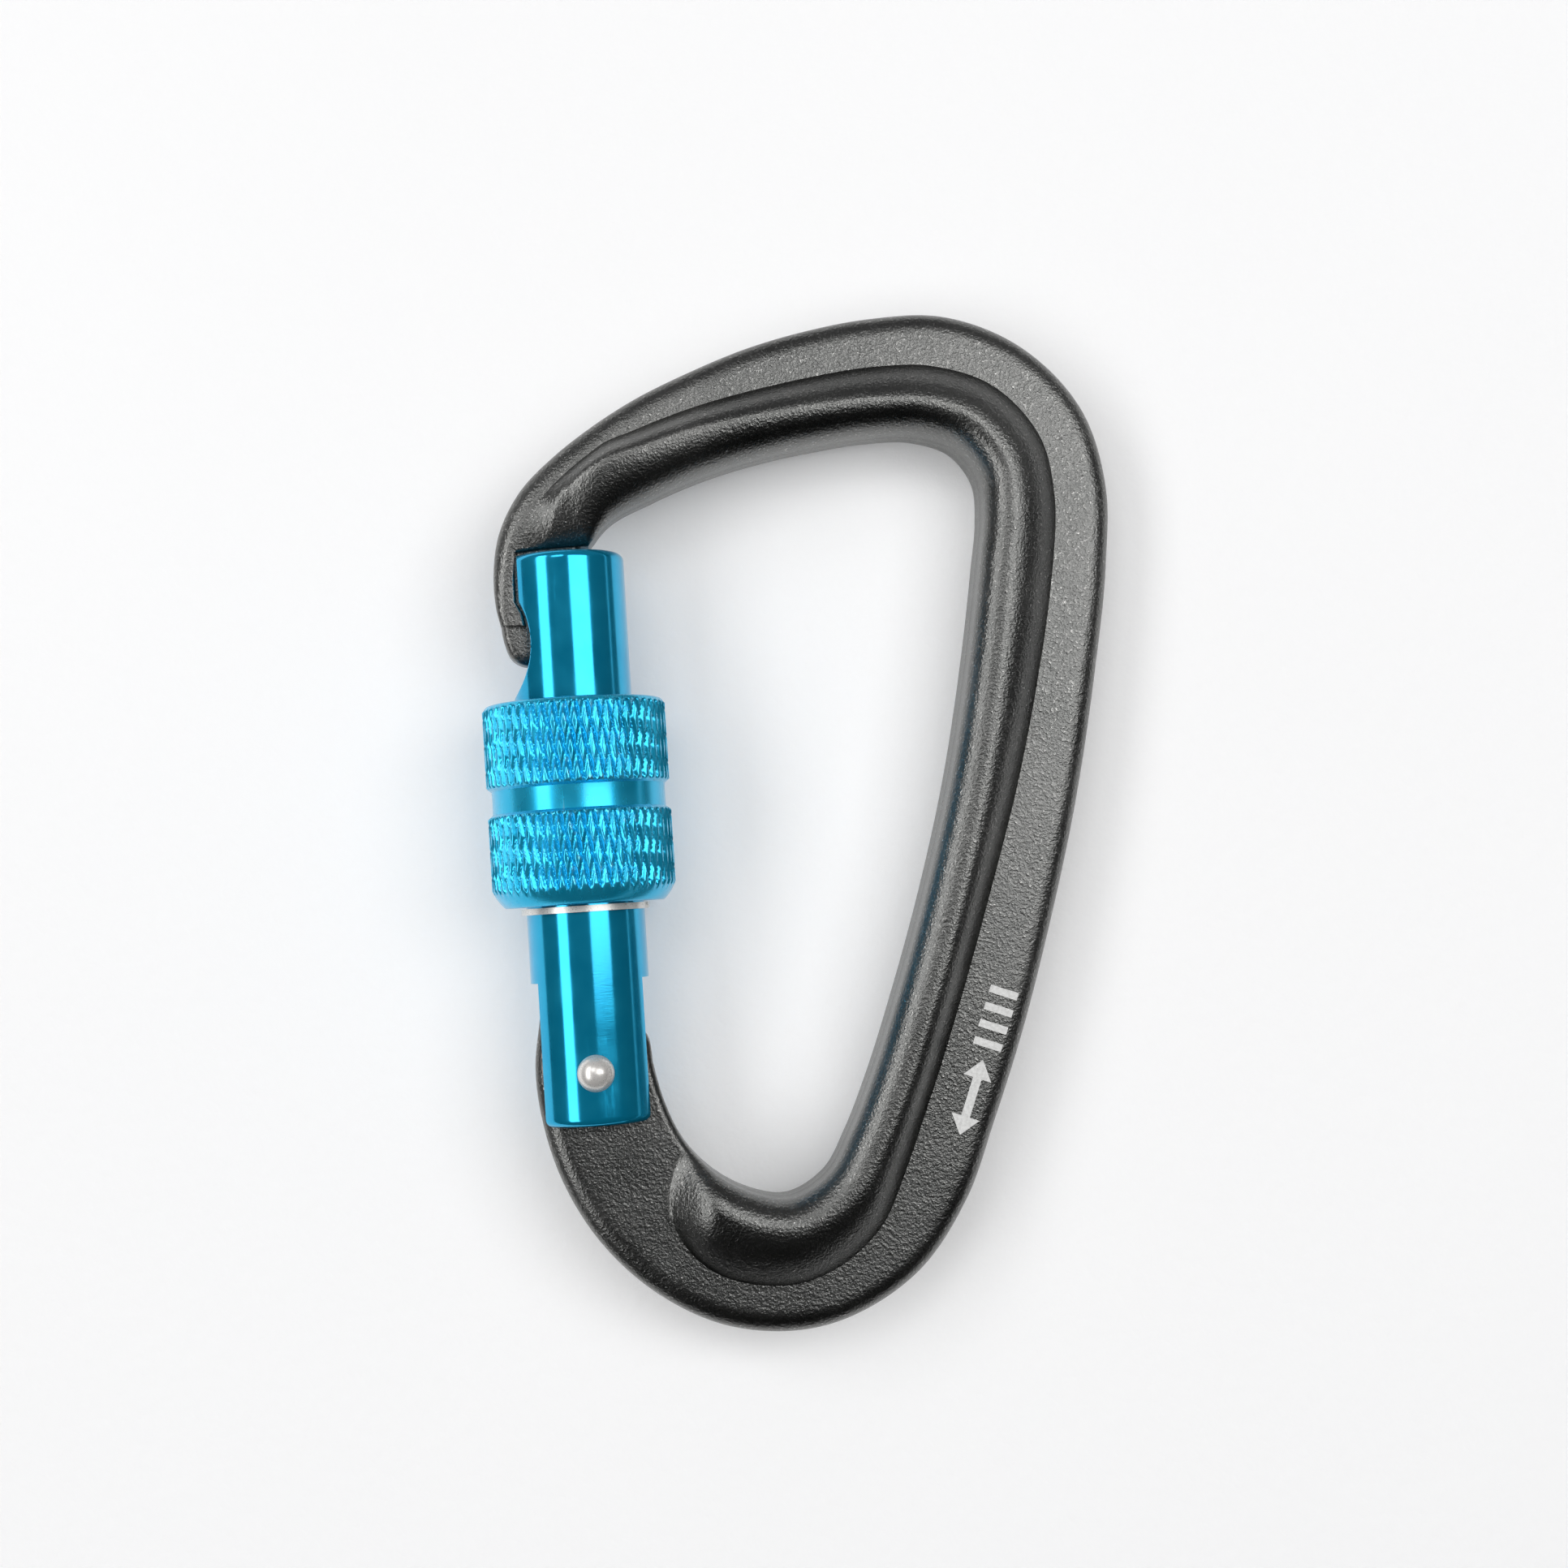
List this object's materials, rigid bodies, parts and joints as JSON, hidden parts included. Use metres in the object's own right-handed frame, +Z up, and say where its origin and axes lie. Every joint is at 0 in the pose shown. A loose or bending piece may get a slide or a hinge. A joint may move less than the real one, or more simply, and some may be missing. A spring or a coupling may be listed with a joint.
{
  "type": "locking carabiner",
  "caption": "Small screw-gate locking carabiner: pear-shaped forged body, sprung hinged gate, knurled screw sleeve.",
  "frame": {"origin": "centre of the whole carabiner's bounding box, in the middle plane of the body", "axes": "lies flat: +Z is up through the thickness, +Y runs along the closed gate from hinge to nose, +X points to the spine"},
  "size_m": [0.0506, 0.0794, 0.0142],
  "materials": {
    "body_anodised": "bead-blasted dark grey anodised",
    "gate_anodised": "polished cyan blue anodised",
    "sleeve_anodised": "knurled satin cyan blue anodised",
    "steel": "bright plated",
    "spring_steel": "drawn wire",
    "drag_plastic": "moulded"
  },
  "bodies": {
    "frame": {"frame_body": "body_anodised"},
    "gate": {"gate_arm": "gate_anodised", "hinge_rivet": "steel", "stop_ring": "steel", "gate_spring": "spring_steel"},
    "plunger": {"spring_plunger": "steel"},
    "drag": {"drag_ring": "drag_plastic"},
    "sleeve": {"lock_sleeve": "sleeve_anodised"}
  },
  "joints": [
    {"name": "gate_hinge", "type": "hinge", "parent": "frame", "child": "gate", "pos_m": [-0.01814, -0.01849, 0], "axis": [0, 0, -1], "range_deg": [0, 28], "stiffness_Nm_per_rad": 0.05, "springref_deg": -22.92, "deforming": ["gate_spring"]},
    {"name": "plunger_slide", "type": "slide", "parent": "gate", "child": "plunger", "axis": [0, 1, 0], "range_m": [0, 0.0015]},
    {"name": "sleeve_slide", "type": "slide", "parent": "gate", "child": "drag", "axis": [0, 1, 0], "range_m": [0, 0.0095]},
    {"name": "sleeve_turn", "type": "hinge", "parent": "drag", "child": "sleeve", "pos_m": [-0.01814, 0.00151, 0], "axis": [0, 1, 0], "range_deg": [0, 1692]}
  ],
  "couplings": [
    {"joint": "plunger_slide", "follows": "gate_hinge", "m_per_rad": 0.003},
    {"joint": "sleeve_slide", "follows": "sleeve_turn", "m_per_rad": 0.00031831}
  ]
}
